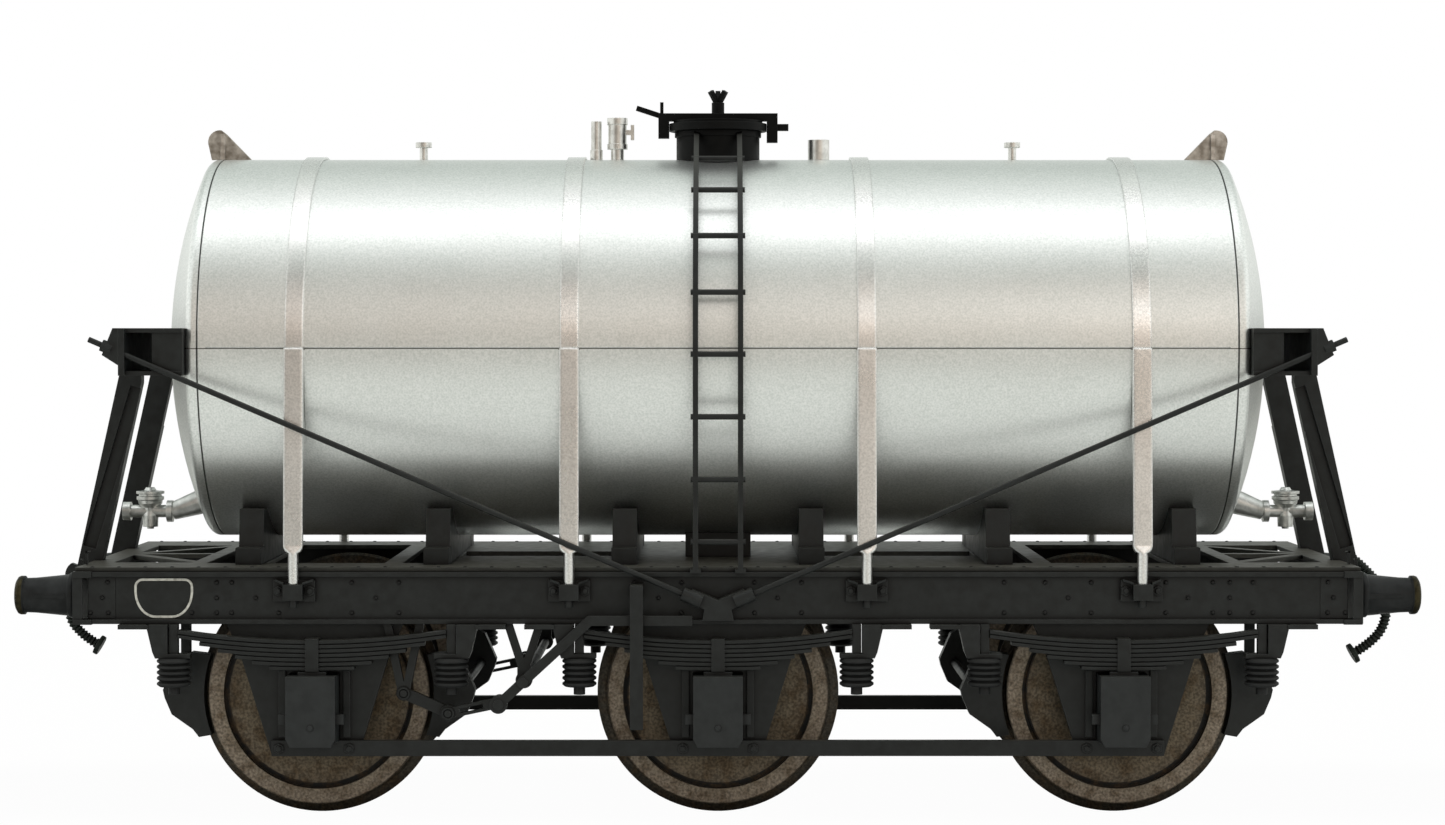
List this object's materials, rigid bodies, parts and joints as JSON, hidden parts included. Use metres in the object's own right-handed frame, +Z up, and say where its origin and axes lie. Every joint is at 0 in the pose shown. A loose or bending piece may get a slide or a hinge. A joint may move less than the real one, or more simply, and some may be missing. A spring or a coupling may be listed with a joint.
{
  "type": "scale model railway tank car",
  "caption": "Scale model railway milk tank wagon: strapped silver tank with ladder, manway and tie rods on a black sprung underframe with disc wheels.",
  "frame": {"origin": "centre of the bounding box at its bottom, where the wheel flanges stand", "axes": "+X along the wagon towards the right end in the picture, +Y across it away from the camera, +Z up"},
  "size_m": [0.1596, 0.0518, 0.0839],
  "materials": {
    "tank_paint": "satin metallic silver",
    "bright_metal": "bright",
    "cast_metal": "dull cast",
    "wheel_steel": "weathered",
    "axle_steel": "dull",
    "buffer_brass": "blackened",
    "hose_rubber": "matt",
    "stack_rubber": "matt",
    "frame_black": "satin black"
  },
  "bodies": {
    "wagon": {"axleboxes": "frame_black", "axleguards": "frame_black", "band_hangers": "bright_metal", "brake_beams": "frame_black", "brake_hoses": "hose_rubber", "brake_levers": "frame_black", "brake_links": "frame_black", "brake_shaft": "frame_black", "brake_shoes": "frame_black", "buffers": "buffer_brass", "centre_anchor": "frame_black", "cross_bearers": "frame_black", "deck": "frame_black", "discharge_valve_left": "cast_metal", "discharge_valve_right": "cast_metal", "drawhooks": "frame_black", "end_beam_left": "frame_black", "end_beam_right": "frame_black", "end_struts": "frame_black", "filler_pipe": "bright_metal", "hanger_brackets": "frame_black", "headstock_left": "frame_black", "headstock_right": "frame_black", "keeper_bars": "frame_black", "ladders": "frame_black", "leaf_springs": "frame_black", "lever_guides": "frame_black", "lifting_lugs": "cast_metal", "manway_clamp": "frame_black", "manway_lid": "frame_black", "manway_neck": "frame_black", "relief_valve": "bright_metal", "rubber_stacks": "stack_rubber", "solebar_far": "frame_black", "solebar_near": "frame_black", "spring_hangers": "frame_black", "tank_bands": "tank_paint", "tank_barrel": "tank_paint", "tank_end_left": "tank_paint", "tank_end_right": "tank_paint", "tank_saddles": "frame_black", "thermometer_pocket": "bright_metal", "tie_rod_brackets": "frame_black", "tie_rods": "frame_black", "vee_hangers": "frame_black", "vent_pipes": "bright_metal"},
    "wheelset_left": {"axle_left": "axle_steel", "wheel_left_near": "wheel_steel", "wheel_left_far": "wheel_steel"},
    "wheelset_middle": {"axle_middle": "axle_steel", "wheel_middle_near": "wheel_steel", "wheel_middle_far": "wheel_steel"},
    "wheelset_right": {"axle_right": "axle_steel", "wheel_right_near": "wheel_steel", "wheel_right_far": "wheel_steel"}
  },
  "joints": [
    {"name": "wheelset_left_turn", "type": "hinge", "parent": "wagon", "child": "wheelset_left", "pos_m": [-0.0455, 0, 0.01385], "axis": [0, 1, 0], "continuous": true},
    {"name": "wheelset_middle_turn", "type": "hinge", "parent": "wagon", "child": "wheelset_middle", "pos_m": [0, 0, 0.01385], "axis": [0, 1, 0], "continuous": true},
    {"name": "wheelset_right_turn", "type": "hinge", "parent": "wagon", "child": "wheelset_right", "pos_m": [0.0455, 0, 0.01385], "axis": [0, 1, 0], "continuous": true}
  ]
}
